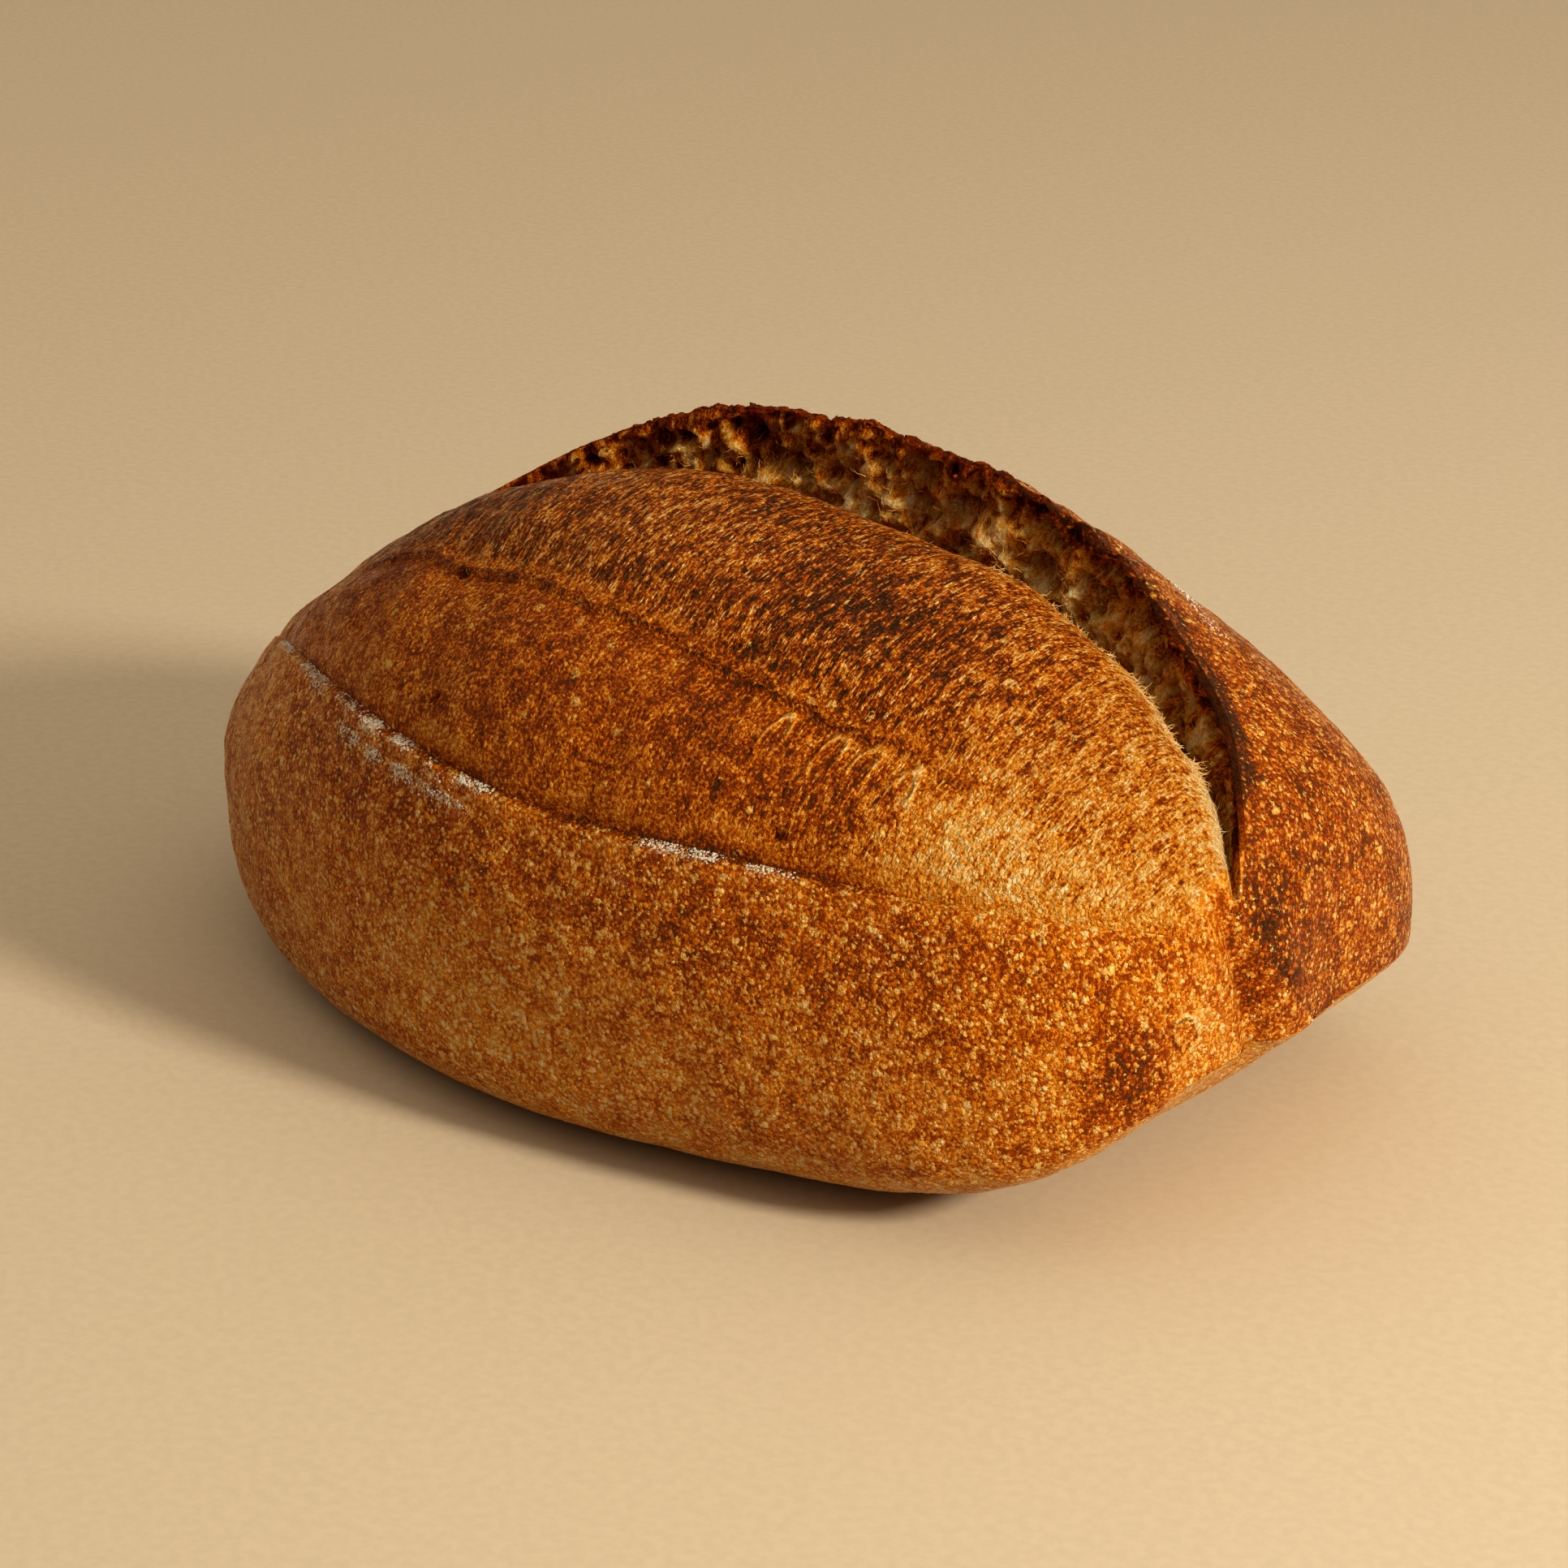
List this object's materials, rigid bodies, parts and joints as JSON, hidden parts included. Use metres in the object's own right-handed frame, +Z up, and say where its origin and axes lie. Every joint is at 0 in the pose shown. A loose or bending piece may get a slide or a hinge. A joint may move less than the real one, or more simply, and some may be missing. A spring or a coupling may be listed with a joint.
{
  "type": "sourdough loaf",
  "caption": "Oval hearth-baked sourdough loaf with one long slash, a torn bloom and a raised ear, resting on its flat base.",
  "frame": {"origin": "middle of the loaf's outline, on the floor that it rests on", "axes": "+X along the loaf, towards its blunt tip; +Y towards the side that carries the ear; +Z up"},
  "size_m": [0.2722, 0.1756, 0.1238],
  "materials": {
    "crust": "browned bread crust, caramel to dark brown, half matt with a thin baked gloss"
  },
  "bodies": {
    "root": {"loaf": "crust"}
  },
  "joints": []
}
